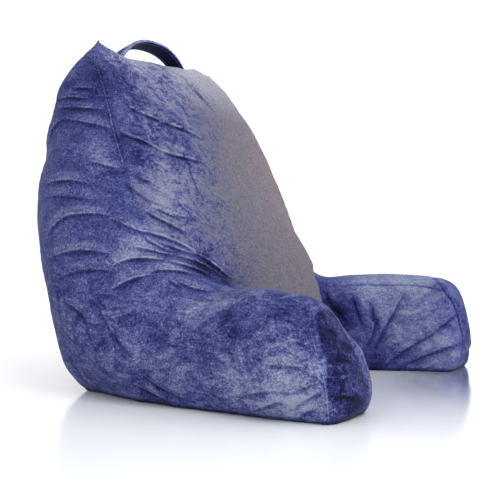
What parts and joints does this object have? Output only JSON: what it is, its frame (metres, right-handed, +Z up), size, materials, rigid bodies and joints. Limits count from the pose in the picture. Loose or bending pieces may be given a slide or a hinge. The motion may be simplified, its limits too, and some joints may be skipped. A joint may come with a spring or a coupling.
{
  "type": "reading pillow",
  "caption": "Reading pillow in plush velour: a wedge-shaped filled backrest with two short arms and a carrying strap on its top edge.",
  "frame": {"origin": "on the surface that the pillow stands on, below the middle of its overall box", "axes": "+Z up, +X across the pillow from one arm to the other, the arms reach forward towards -Y and the back faces +Y"},
  "size_m": [0.5336, 0.487, 0.4892],
  "materials": {
    "velour": "plush pile",
    "strap_velour": "plush pile"
  },
  "bodies": {
    "root": {"pillow": "velour", "handle": "strap_velour"}
  },
  "joints": []
}
